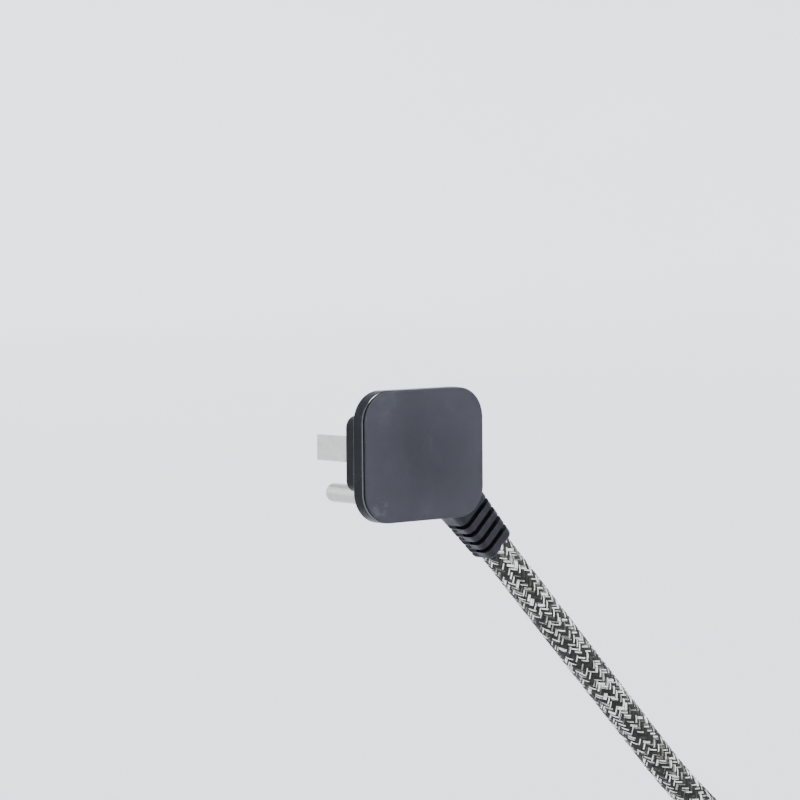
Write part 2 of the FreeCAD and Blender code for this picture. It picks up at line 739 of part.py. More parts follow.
def board_part(x, y, height):
    """A block that stands on the board; y is measured from the case's middle."""
    return box(x, (BODY_Y + y[0], BODY_Y + y[1]), (BOARD_TOP, BOARD_TOP + height))


def relay():
    block = board_part((36.5, 65.0), (-15.4, -3.6), 15.6)
    return block.makeFillet(0.5, [e for e in block.Edges if e.BoundBox.ZMin > BOARD_TOP + 1])


def supply_transformer():
    core = board_part((36.6, 45.6), (5.0, 14.2), 8.0)
    winding = board_part((38.4, 43.8), (4.2, 14.9), 6.8)
    return core.fuse(winding).removeSplitter()


def supply_capacitor():
    can = rod((57.4, BODY_Y + 7.6, BOARD_TOP), (57.4, BODY_Y + 7.6, BOARD_TOP + 11.5), 4.0)
    return rounded_end(can, 2, BOARD_TOP + 11.5, 0.6)


def fuse():
    block = board_part((62.4, 66.2), (4.2, 10.0), 7.6)
    return block.makeFillet(0.6, [e for e in block.Edges if e.BoundBox.ZLength > 5])


def radio_board():
    return board_part((46.6, 63.2), (14.6, 15.4), 15.0)


def radio_shield():
    can = box((48.4, 60.2), (BODY_Y + 12.2, BODY_Y + 14.6), (BOARD_TOP + 3.5, BOARD_TOP + 13.8))
    return can.makeFillet(0.4, [e for e in can.Edges if e.BoundBox.YMax < BODY_Y + 12.5])




def tact_switch():
    block = box(around(BUTTON_X, 3), around(BODY_Y, 3), (BOARD_TOP, SWITCH_TOP))
    well = PLUNGER_LOW - BUTTON_TRAVEL - 0.3
    return block.cut(rod((BUTTON_X, BODY_Y, well), (BUTTON_X, BODY_Y, SWITCH_TOP + 1), 1.75))


def switch_plunger():
    return rod((BUTTON_X, BODY_Y, PLUNGER_LOW), (BUTTON_X, BODY_Y, PLUNGER_TOP), 1.6)


def button_cap():
    top = SURFACE_Z + BODY_HEIGHT + BUTTON_PROUD
    flange_top = CEILING - 0.1
    cap = rod((BUTTON_X, BODY_Y, flange_top - 1.0), (BUTTON_X, BODY_Y, top), BUTTON_RADIUS)
    cap = rounded_end(cap, 2, top, 0.5)
    flange = rod(
        (BUTTON_X, BODY_Y, flange_top - 1.0), (BUTTON_X, BODY_Y, flange_top), BUTTON_RADIUS + 1
    )
    stem = rod((BUTTON_X, BODY_Y, PLUNGER_TOP), (BUTTON_X, BODY_Y, flange_top - 0.5), 1.5)
    return joined([cap, flange, stem])


def status_led():
    return board_part(around(PIPE_X, 1.6), (-0.9, 0.9), 1.4)


def light_pipe():
    top = SURFACE_Z + BODY_HEIGHT + 0.1
    pipe = rod((PIPE_X, BODY_Y, BOARD_TOP + 1.7), (PIPE_X, BODY_Y, top), PIPE_RADIUS)
    flange = rod((PIPE_X, BODY_Y, CEILING - 1.1), (PIPE_X, BODY_Y, CEILING - 0.1), 2.4)
    return joined([rounded_end(pipe, 2, top, 0.4), flange])


def line_contact():
    return blade_contact(-HALF_SPACING)


def neutral_contact():
    return blade_contact(HALF_SPACING)


def socket_line_core():
    return socket_core(core_spots()[2], 2.5, 63.8)


def socket_neutral_core():
    return socket_core(core_spots()[0], 0.0, 62.3)


def socket_ground_core():
    return socket_core(core_spots()[1], -2.4, 63.8)


def line_blade():
    return blade(HALF_SPACING)


def neutral_blade():
    return blade(-HALF_SPACING)


PLUG = [
    plug_front_cover,
    plug_rear_shell,
    blade_bridge,
    line_blade,
    neutral_blade,
    ground_pin,
    crimp_ferrules,
    plug_line_core,
    plug_neutral_core,
    plug_ground_core,
    plug_inner_sheath,
    jacket_clamp,
    plug_strain_relief,
]
CORD = [cord_run, cord_coil, cord_lead, cord_tie]
SOCKET = [
    socket_face,
    socket_lower_shell,
    socket_upper_shell,
    shutter,
    shutter_spring,
    contact_carrier,
    line_contact,
    neutral_contact,
    ground_contact,
    circuit_board,
    relay,
    supply_transformer,
    supply_capacitor,
    fuse,
    radio_board,
    radio_shield,
    tact_switch,
    switch_plunger,
    button_cap,
    status_led,
    light_pipe,
    shell_screws,
    cord_clamp_bar,
    clamp_screws,
    socket_strain_relief,
    socket_inner_sheath,
    socket_line_core,
    socket_neutral_core,
    socket_ground_core,
]

os.makedirs("parts", exist_ok=True)
for make in PLUG + CORD + SOCKET:
    shape = make()
    shape.exportStep("parts/" + make.__name__ + ".step")
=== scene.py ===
"""Looks for the angled wall plug, its braided cord and the smart socket at the cord's far end.

Metres, in the CAD's frame: +Z up, +Y into the wall, origin midway between the plug's blades.
"""

import json
import math

import bpy
import numpy as np
from mathutils import Matrix, Vector


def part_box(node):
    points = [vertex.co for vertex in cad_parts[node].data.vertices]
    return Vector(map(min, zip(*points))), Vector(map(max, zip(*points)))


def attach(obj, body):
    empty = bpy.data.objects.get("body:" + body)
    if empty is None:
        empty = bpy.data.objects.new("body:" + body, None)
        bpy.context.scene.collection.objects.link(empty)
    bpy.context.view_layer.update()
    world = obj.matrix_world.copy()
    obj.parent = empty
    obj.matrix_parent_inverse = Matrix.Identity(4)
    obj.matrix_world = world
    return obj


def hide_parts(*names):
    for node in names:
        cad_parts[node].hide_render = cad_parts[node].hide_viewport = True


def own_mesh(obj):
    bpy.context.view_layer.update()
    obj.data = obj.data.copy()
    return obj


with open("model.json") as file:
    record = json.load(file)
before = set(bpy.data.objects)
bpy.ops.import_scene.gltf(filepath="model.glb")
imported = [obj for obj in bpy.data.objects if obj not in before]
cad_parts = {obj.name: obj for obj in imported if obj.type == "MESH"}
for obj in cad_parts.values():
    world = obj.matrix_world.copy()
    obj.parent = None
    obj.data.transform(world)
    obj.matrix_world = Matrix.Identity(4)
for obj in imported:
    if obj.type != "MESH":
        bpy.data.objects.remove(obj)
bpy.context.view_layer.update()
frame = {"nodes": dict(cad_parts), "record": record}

MM = 0.001
FLOOR = -0.130

# ---- camera
CAMERA_AT = (-0.5205195, -0.6188599, 0.0595187)
CAMERA_YAW = -40.358
CAMERA_PITCH = 3.358
CAMERA_ROLL = -0.485
CAMERA_LENS = 148.0

# ---- cord: the route's points, then the coil's turns, then the lead into the socket
EXIT = (26.73, -10.4, -25.10)
RUN = [EXIT, (72.41, -10.4, -72.74), (95.94, -10.4, -97.27), (123.4, -10.4, -117.2), (150.0, -10.4, -125.8)]
COIL_CENTRE = (168.0, -67.6)
COIL_TURNS = 5.5
COIL_LINE = 57.2
COIL_PITCH = 8.5
TURN_POINTS = 24
LOW_LAYER = -125.8
HIGH_LAYER = -117.4
LEAD = [(168.0, -124.8, -117.4), (130.0, -124.8, -117.4), (94.35, -124.8, -117.4)]

# ---- plug's front: the middle its painted light grows lighter away from, and where it is scuffed
COVER_MIDDLE = (0.0, -15.8 * MM, 0.0)
SCUFF_AT = (-14.6 * MM, -15.8 * MM, -12.9 * MM)

# ---- strain relief's grooves, counted back from its end
GROOVE_PITCH = 3.07 * MM
GROOVE_LAST = 3.49 * MM

# ---- shutter's spring: it keeps 1.8 mm of its 5.0 mm when the shutter is fully across
SPRING_WIRE = 0.14 * MM
SPRING_TURNS = 5

# ---- woven sleeve
COLUMNS = 18
PICK = 1.67 * MM
SLEEVE_LOW = 3.88 * MM
SLEEVE_HIGH = 4.24 * MM
JACKET = 3.80 * MM
FINE_UNTIL = 122 * MM
LOWER_UNTIL = 980 * MM

# ---- nodes in the same charcoal as the plug's front
CASE = ("socket_lower_shell", "socket_upper_shell")

# ---- strap round the coil's bundle, and the stage
STRAP_X = (112.0, 139.4)
STRAP_Z = (-129.5, -112.75)
STRAP_CORNER = 4.6
STRAP_LAP = 1.05
STAGE_MIDDLE = (0.1, -0.06)
STAGE_REACH = 6.0
STAGE_BEND = 1.5
STAGE_HEIGHT = 4.5


def camera():
    yaw, pitch, roll = (math.radians(a) for a in (CAMERA_YAW, CAMERA_PITCH, CAMERA_ROLL))
    ahead = Vector((-math.sin(yaw) * math.cos(pitch), math.cos(yaw) * math.cos(pitch), -math.sin(pitch)))
    right = Vector((math.cos(yaw), math.sin(yaw), 0))
    up = right.cross(ahead)
    level = math.cos(roll) * right + math.sin(roll) * up
    above = math.cos(roll) * up - math.sin(roll) * right
    data = bpy.data.cameras.new("camera")
    data.lens = CAMERA_LENS
    data.sensor_width = 36.0
    data.clip_start = 0.01
    data.clip_end = 50.0
    made = bpy.data.objects.new("camera", data)
    bpy.context.scene.collection.objects.link(made)
    turn = Matrix((level, above, -ahead)).transposed()
    made.matrix_world = Matrix.Translation(Vector(CAMERA_AT)) @ turn.to_4x4()
    bpy.context.scene.camera = made


# ---- cord


def coil_points():
    """Bottom layer wound inwards, top layer wound outwards, clockwise from above."""
    points = []
    half = COIL_TURNS / 2
    count = round(COIL_TURNS * TURN_POINTS)
    for i in range(count):
        turn = (i + 0.5) / TURN_POINTS
        line = COIL_LINE - COIL_PITCH * (half - abs(half - turn))
        rise = min(max((turn - half + 0.25) / 0.5, 0), 1)
        angle = math.pi / 2 - 2 * math.pi * turn
        radius = line / 0.9915
        points.append((
            COIL_CENTRE[0] + radius * math.cos(angle),
            COIL_CENTRE[1] + radius * math.sin(angle),
            LOW_LAYER + (HIGH_LAYER - LOW_LAYER) * rise * rise * (3 - 2 * rise),
        ))
    return points


def route_line():
    """The cord's centreline, read from the smooth curve through its points."""
    points = RUN + coil_points() + LEAD
    data = bpy.data.curves.new("route", "CURVE")
    data.dimensions = "3D"
    spline = data.splines.new("NURBS")
    spline.points.add(len(points) - 1)
    for control, point in zip(spline.points, points):
        control.co = (point[0] * MM, point[1] * MM, point[2] * MM, 1)
    spline.order_u = 3
    spline.use_endpoint_u = True
    data.resolution_u = 24
    guide = bpy.data.objects.new("route", data)
    bpy.context.scene.collection.objects.link(guide)
    bpy.context.view_layer.update()
    mesh = bpy.data.meshes.new_from_object(guide.evaluated_get(bpy.context.evaluated_depsgraph_get()))
    line = np.array([v.co for v in mesh.vertices])
    bpy.data.objects.remove(guide)
    bpy.data.meshes.remove(mesh)
    return line


class Line:
    """A centreline with a frame that turns with it and doesn't twist."""

    def __init__(self, points):
        steps = np.linalg.norm(np.diff(points, axis=0), axis=1)
        keep = np.r_[True, steps > 1e-7]
        self.points = points[keep]
        steps = np.linalg.norm(np.diff(self.points, axis=0), axis=1)
        self.at = np.r_[0, np.cumsum(steps)]
        self.length = self.at[-1]
        ahead = np.gradient(self.points, self.at, axis=0)
        self.ahead = ahead / np.linalg.norm(ahead, axis=1)[:, None]
        side = np.zeros_like(self.points)
        current = np.array([0.0, -1.0, 0.0])
        for i, tangent in enumerate(self.ahead):
            current = current - tangent * current.dot(tangent)
            current = current / np.linalg.norm(current)
            side[i] = current
        self.side = side

    def sample(self, values, at):
        return np.stack([np.interp(at, self.at, values[:, i]) for i in range(3)], axis=-1)

    def surface(self, at, angle, radius):
        """Points at that distance along, angle round and radius out, past the ends too."""
        centre = self.sample(self.points, at)
        tangent = self.sample(self.ahead, at)
        beyond = at - np.clip(at, 0, self.length)
        centre = centre + tangent * beyond[..., None]
        side = self.sample(self.side, at)
        other = np.cross(tangent, side)
        out = np.cos(angle)[..., None] * side + np.sin(angle)[..., None] * other
        out = out / np.linalg.norm(out, axis=-1)[..., None]
        return centre + out * np.asarray(radius)[..., None]


def mesh_piece(name, points, faces, uv=None):
    mesh = bpy.data.meshes.new(name)
    mesh.from_pydata(points.tolist(), [], faces)
    if uv is not None:
        mesh.uv_layers.new(name="braid").data.foreach_set("uv", uv.ravel())
    mesh.polygons.foreach_set("use_smooth", [True] * len(mesh.polygons))
    mesh.update()
    made = bpy.data.objects.new(name, mesh)
    bpy.context.scene.collection.objects.link(made)
    return made


def ring_mesh(name, grid, centres, uv=None):
    """A closed mesh from rows of points round a line, with a point at each end."""
    rows, columns = grid.shape[:2]
    points = np.vstack([grid.reshape(-1, 3), centres])
    faces = []
    for row in range(rows - 1):
        base = row * columns
        for i in range(columns):
            j = (i + 1) % columns
            faces.append((base + i, base + j, base + columns + j, base + columns + i))
    last = (rows - 1) * columns
    first_centre, last_centre = rows * columns, rows * columns + 1
    for i in range(columns):
        j = (i + 1) % columns
        faces.append((first_centre, j, i))
        faces.append((last_centre, last + i, last + j))
    if uv is not None:
        quads = np.stack([uv[:-1, :-1], uv[:-1, 1:], uv[1:, 1:], uv[1:, :-1]], axis=2)
        uv = np.vstack([quads.reshape(-1, 2), np.zeros((columns * 6, 2))])
    return mesh_piece(name, points, faces, uv)


def jacket(line):
    """The cord under its sleeve."""
    at = np.linspace(0, line.length, round(line.length / (3 * MM)))
    angle = np.linspace(0, 2 * math.pi, 20, endpoint=False)
    at_grid, angle_grid = np.meshgrid(at, angle, indexing="ij")
    grid = line.surface(at_grid, angle_grid, np.full_like(at_grid, JACKET))
    ends = line.sample(line.points, np.array([0, line.length]))
    return ring_mesh("cord_jacket", grid, ends)


def weave_height(one, other):
    """Height of the yarns, 0 to 1, in herringbone: bars two cells long, each end against a bar's side."""
    row, column = np.floor(one + 1e-6), np.floor(other + 1e-6)
    place = (row - column) % 4
    rising = place < 2
    length = np.where(rising, one - row + place, other - column + 3 - place) / 2
    width = np.where(rising, other - column, one - row)
    bar = np.clip(1 - (2 * width - 1) ** 2, 0, 1) ** 0.3
    strands = 0.78 + 0.22 * np.cos(2 * math.pi * (3 * width - 0.5))
    ends = np.clip(np.sin(math.pi * length), 0, 1) ** 0.3
    inside = (length > 0.01) & (length < 0.99)
    return bar * strands * (0.1 + 0.9 * ends) * inside


def sleeve_surface(line, around_at, along_at):
    """The woven tube's points at those columns round it and picks along it."""
    height = weave_height(along_at + around_at, along_at - around_at)
    radius = SLEEVE_LOW + (SLEEVE_HIGH - SLEEVE_LOW) * height
    return line.surface(along_at * PICK, around_at * 2 * math.pi / COLUMNS, radius)


def sleeve_in_rows(line, name, first, last):
    """Woven tube with rows of points that run zigzag along its bars, four rows to a bar."""
    around_at = np.arange(COLUMNS * 2 + 1) / 2
    side = around_at % 2
    zigzag = np.where(side < 1, side, 2 - side)
    rows = np.arange(first * 4, last * 4 + 1) / 4
    along_at = rows[:, None] + zigzag[None, :]
    around_grid = np.broadcast_to(around_at, along_at.shape)
    grid = sleeve_surface(line, around_grid[:, :-1], along_at[:, :-1])
    ends = line.surface(np.array([first, last]) * PICK, np.zeros(2), np.zeros(2))
    return ring_mesh(name, grid, ends, np.stack([around_grid, along_at], axis=-1))


def sleeve_in_bars(line, name, first, last, fine):
    """Woven tube whose faces are squares laid along the bars, fine of them across each bar."""
    count = COLUMNS * fine
    half = 1 / (2 * fine)
    rows = (last - first) * 2 * fine + 1
    step = np.arange(count)
    row = np.arange(rows)
    around_at = (2 * step[None, :] + (row % 2)[:, None]) * half
    along_at = np.broadcast_to(first + row[:, None] * half, around_at.shape)
    points = sleeve_surface(line, around_at, along_at).reshape(-1, 3)
    faces, corners = [], []
    for r in range(rows - 2):
        shift = r % 2
        left, right = (step - 1 + shift) % count, (step + shift) % count
        faces.append(np.stack([
            r * count + step, (r + 1) * count + right, (r + 2) * count + step, (r + 1) * count + left,
        ], 1))
        middle = (2 * step + shift) * half
        low = np.full(count, first + r * half)
        corners.append(np.stack([
            middle, low, middle + half, low + half, middle, low + 2 * half, middle - half, low + half,
        ], 1))
    faces = np.vstack(faces).tolist()
    corners = np.vstack(corners).reshape(-1, 2)
    start, stop = len(points), len(points) + 1
    top = (rows - 1) * count
    under = top - count
    for c in range(count):
        after = (c + 1) % count
        faces += [(start, count + c, c), (start, after, count + c)]
        faces += [(stop, top + c, under + c), (stop, under + c, top + after)]
    ends = line.surface(np.array([first, last]) * PICK, np.zeros(2), np.zeros(2))
    uv = np.vstack([corners, np.zeros((count * 12, 2))])
    return mesh_piece(name, np.vstack([points, ends]), faces, uv)


# ---- materials


def linear(*colour):
    """An sRGB colour, 0 to 255, as the linear numbers a shader takes."""
    parts = [c / 255 for c in colour]
    return tuple(c / 12.92 if c <= 0.04045 else ((c + 0.055) / 1.055) ** 2.4 for c in parts) + (1,)


def scaled(colour, factor):
    return tuple(min(1, c * factor) for c in colour[:3]) + (1,)


class Look:
    """A node material under construction."""

    def __init__(self, name, rough=0.5, metallic=0.0, specular=0.5):
        self.material = bpy.data.materials.new(name)
        self.material.use_nodes = True
        self.tree = self.material.node_tree
        self.shader = self.tree.nodes["Principled BSDF"]
        self.set("Roughness", rough)
        self.set("Metallic", metallic)
        self.set("Specular IOR Level", specular)
        self.bumps = None

    def set(self, socket, value):
        if isinstance(value, bpy.types.NodeSocket):
            self.tree.links.new(value, self.shader.inputs[socket])
        else:
            self.shader.inputs[socket].default_value = value

    def node(self, kind, settings=None, inputs=None):
        made = self.tree.nodes.new("ShaderNode" + kind)
        for key, value in (settings or {}).items():
            setattr(made, key, value)
        for key, value in (inputs or {}).items():
            if isinstance(value, bpy.types.NodeSocket):
                self.tree.links.new(value, made.inputs[key])
            else:
                made.inputs[key].default_value = value
        return made

    def math(self, operation, a, b=0.0, c=0.0):
        return self.node("Math", {"operation": operation}, {0: a, 1: b, 2: c}).outputs[0]

    def place(self):
        return self.node("TexCoord").outputs["Object"]

    def far(self, place, point):
        """Distance from a point."""
        return self.node("VectorMath", {"operation": "DISTANCE"}, {0: place, 1: point}).outputs["Value"]

    def noise(self, size, detail=2.0, rough=0.5, vector=None, stretch=None):
        """Noise with blotches of that size in metres."""
        vector = vector or self.place()
        if stretch:
            vector = self.node("Mapping", None, {"Vector": vector, "Scale": stretch}).outputs[0]
        return self.node(
            "TexNoise", None, {"Vector": vector, "Scale": 1 / size, "Detail": detail, "Roughness": rough}
        ).outputs["Fac"]

    def spread(self, value, low, high, to_low=0.0, to_high=1.0):
        return self.node(
            "MapRange",
            {"interpolation_type": "SMOOTHSTEP"},
            {"Value": value, "From Min": low, "From Max": high, "To Min": to_low, "To Max": to_high},
        ).outputs[0]

    def mix(self, factor, a, b, blend="MIX"):
        made = self.node("Mix", {"data_type": "RGBA", "blend_type": blend}, {0: factor, 6: a, 7: b})
        return made.outputs[2]

    def bump(self, height, distance, strength=1.0):
        inputs = {"Height": height, "Distance": distance, "Strength": strength}
        if self.bumps is not None:
            inputs["Normal"] = self.bumps
        self.bumps = self.node("Bump", None, inputs).outputs[0]
        self.set("Normal", self.bumps)


def moulded(name, colour, rough=0.45, grain=0.25 * MM, depth=0.012 * MM, mottle=0.12, specular=0.5):
    """Moulded plastic or rubber: fine spark-eroded grain, faint clouding and handling marks."""
    look = Look(name, rough, 0.0, specular)
    clouds = look.noise(14 * MM, 4.0, 0.55)
    speck = look.noise(1.1 * MM, 3.0, 0.6)
    base = look.mix(look.spread(clouds, 0.3, 0.7), scaled(colour, 1 - mottle), scaled(colour, 1 + mottle))
    fleck = look.spread(speck, 0.62, 0.8, 0.0, 0.35)
    look.set("Base Color", look.mix(fleck, base, scaled(colour, 1.25)))
    wear = look.noise(5 * MM, 5.0, 0.6)
    look.set("Roughness", look.spread(wear, 0.3, 0.75, rough - 0.07, rough + 0.09))
    look.bump(look.noise(grain, 3.0, 0.6), depth)
    return look


def cover_look():
    """The plug's front: satin charcoal, cloudy, with scuffs near its lower left corner, painted light
    lifting it towards its edges, and painted shade on its edge round and the seam groove behind it.
    """
    look = moulded("charcoal_cover", linear(44, 43, 48), 0.52, 0.3 * MM, 0.01 * MM, 0.10, 0.15)
    base = look.shader.inputs["Base Color"].links[0].from_socket
    place = look.place()
    near = look.spread(look.far(place, SCUFF_AT), 0.5 * MM, 4.5 * MM, 1.0, 0.0)
    streak = look.noise(2.2 * MM, 4.0, 0.6, place, (0.8, 1.0, 1.3))
    scuff = look.math("MULTIPLY", near, look.spread(streak, 0.3, 0.75))
    rub = look.spread(look.noise(9 * MM, 5.0, 0.7, place, (1.0, 1.0, 0.7)), 0.5, 0.85, 0.0, 0.13)
    # Painted light: lighter the further from the middle, standing in for the soft light that brightens the
    # front towards its edges.
    painted_outer_light = look.spread(look.far(place, COVER_MIDDLE), 3.0 * MM, 20.0 * MM, 0.0, 0.08)
    # This lightening mixes real scuffs and rubs with that painted light.
    wear_and_painted_light = look.math("MAXIMUM", look.math("MULTIPLY", scuff, 0.45), look.math("ADD", rub, painted_outer_light))
    worn_and_lit = look.mix(wear_and_painted_light, base, linear(98, 99, 106))
    # Painted shade: near black, with no reflection, over the cover's narrow back in the seam groove, fading
    # out across its edge round towards the front.
    off = look.node("SeparateXYZ", None, {0: place}).outputs[1]
    seam_shade = look.spread(off, -15.66 * MM, -15.1 * MM)
    look.set("Base Color", look.mix(seam_shade, worn_and_lit, linear(6, 6, 7)))
    look.set("Specular IOR Level", look.math("MULTIPLY_ADD", seam_shade, -0.15, 0.15))
    return look.material


def shell_look():
    """The plug's rear shell: charcoal much darker than the cover's as painted shade on its side, which
    faces away from the light; its front rim polished where it meets the cover.
    """
    # Painted shade: the base colour sits far below the cover's charcoal, standing in for the shadow on the
    # shell's side.
    look = moulded("charcoal_shell", linear(10, 11, 14), 0.34, specular=0.08)
    rough = look.shader.inputs["Roughness"].links[0].from_socket
    off = look.node("SeparateXYZ", None, {0: look.place()}).outputs[1]
    rim = look.spread(off, -14.6 * MM, -14.2 * MM, 1.0, 0.0)
    look.set("Specular IOR Level", look.math("MULTIPLY_ADD", rim, 0.9, 0.08))
    look.set("Roughness", look.math("MULTIPLY_ADD", rim, -0.2, rough))
    look.set("Coat Weight", rim)
    look.set("Coat Roughness", 0.15)
    return look.material


def metal(name, colour, rough=0.22, brushed=0.0, stain=0.1):
    """Plated or stamped metal: drawing marks, light tarnish in clouds."""
    look = Look(name, rough, 1.0)
    clouds = look.spread(look.noise(2.5 * MM, 4.0, 0.6), 0.35, 0.75)
    look.set("Base Color", look.mix(clouds, colour, scaled(colour, 1 - stain)))
    marks = look.noise(0.12 * MM, 2.0, 0.6, None, (1.0, 0.06, 1.0) if brushed else (1.0, 1.0, 1.0))
    look.set("Roughness", look.spread(marks, 0.3, 0.7, rough - 0.05, rough + 0.12))
    look.bump(marks, 0.004 * MM + 0.006 * MM * brushed)
    return look.material


def insulation(name, colour):
    """Extruded wire insulation: semi-gloss, faintly ribbed by the die."""
    look = Look(name, 0.32)
    clouds = look.spread(look.noise(1.5 * MM, 3.0, 0.5), 0.35, 0.7)
    look.set("Base Color", look.mix(clouds, colour, scaled(colour, 0.82)))
    look.bump(look.noise(0.18 * MM, 2.0, 0.5), 0.006 * MM)
    look.set("Coat Weight", 0.15)
    return look.material


def board(name, colour, track):
    """Printed circuit board: solder mask over tracks that run in straight lines, with silk dots."""
    look = Look(name, 0.35)
    place = look.place()
    parts = look.node("SeparateXYZ", None, {0: place}).outputs
    cell = 2.2 * MM
    along = look.math("PINGPONG", look.math("ADD", parts[0], 1.0), cell)
    across = look.math("PINGPONG", look.math("ADD", parts[1], 1.0), cell * 0.7)
    blocks = look.node(
        "TexVoronoi", {"distance": "MANHATTAN", "feature": "F1"}, {"Vector": place, "Scale": 1 / (6 * MM)}
    )
    pick = look.node("SeparateColor", None, {0: blocks.outputs["Color"]}).outputs[0]
    one_way = look.node("CombineXYZ", None, {0: along}).outputs[0]
    other_way = look.node("CombineXYZ", None, {0: across}).outputs[0]
    lane = look.mix(look.math("GREATER_THAN", pick, 0.5), one_way, other_way)
    lane = look.node("SeparateXYZ", None, {0: lane}).outputs[0]
    copper = look.spread(lane, 0.40 * MM, 0.52 * MM, 1.0, 0.0)
    base = look.mix(copper, colour, track)
    dots = look.node("TexVoronoi", {"feature": "F1"}, {"Vector": place, "Scale": 1 / (3.1 * MM)})
    pads = look.spread(dots.outputs["Distance"], 0.13, 0.17, 1.0, 0.0)
    look.set("Base Color", look.mix(pads, base, linear(190, 188, 176)))
    look.bump(look.math("ADD", copper, pads), 0.03 * MM)
    return look.material


def wound_tape(name, colour):
    """Adhesive tape wound on a transformer: overlapping turns, with painted shade at each turn's lapped
    edge and a painted soft sheen.
    """
    look = Look(name, 0.28)
    parts = look.node("SeparateXYZ", None, {0: look.place()}).outputs
    saw = look.math("FRACT", look.math("DIVIDE", look.math("ADD", parts[2], 1.0), 1.7 * MM))
    lap = look.spread(saw, 0.0, 0.12, 0.0, 1.0)
    # Painted shade at each lapped edge.
    shade = look.mix(lap, scaled(colour, 0.55), colour)
    # Painted sheen: patches mixed towards a lighter yellow.
    shine = look.spread(look.noise(2 * MM, 3.0), 0.3, 0.8, 0.0, 0.3)
    look.set("Base Color", look.mix(shine, shade, linear(214, 178, 70)))
    look.bump(lap, 0.05 * MM)
    return look.material


def wrapped(name, colour, rough):
    """Shrink sleeve or moulded component case: glossy with soft dents."""
    look = Look(name, rough)
    clouds = look.spread(look.noise(3 * MM, 3.0), 0.3, 0.7)
    look.set("Base Color", look.mix(clouds, colour, scaled(colour, 0.8)))
    look.bump(look.noise(1.6 * MM, 3.0, 0.5), 0.04 * MM)
    look.bump(look.noise(0.2 * MM, 2.0, 0.5), 0.006 * MM)
    return look.material


def frosted(name):
    """Clear light guide with a frosted skin."""
    look = Look(name, 0.3)
    look.set("Transmission Weight", 0.85)
    look.set("IOR", 1.49)
    haze = look.spread(look.noise(0.8 * MM, 3.0), 0.3, 0.7)
    look.set("Base Color", look.mix(haze, linear(232, 240, 246), linear(205, 216, 226)))
    look.set("Roughness", look.spread(haze, 0.0, 1.0, 0.22, 0.42))
    look.bump(look.noise(0.15 * MM, 2.0), 0.01 * MM)
    return look.material


def strap_look():
    """Hook-and-loop tape: a mat of fine loops, with painted shade in the hollows between them."""
    look = Look("strap_fabric", 0.85, 0.0, 0.25)
    place = look.place()
    loops = look.node(
        "TexVoronoi", {"feature": "F1"}, {"Vector": place, "Scale": 1 / (0.55 * MM), "Randomness": 0.8}
    )
    fuzz = look.noise(0.16 * MM, 4.0, 0.7)
    tuft = look.math("MULTIPLY_ADD", fuzz, 0.5, look.math("MULTIPLY", loops.outputs["Distance"], 0.8))
    # Painted shade: the colour follows the bump's height, near black in the hollows between loops and
    # lighter on their raised tops.
    base = look.mix(look.spread(tuft, 0.25, 0.85), linear(14, 14, 16), linear(58, 58, 62))
    look.set("Base Color", base)
    look.set("Sheen Weight", 0.35)
    look.set("Sheen Roughness", 0.5)
    look.bump(tuft, 0.22 * MM)
    return look.material


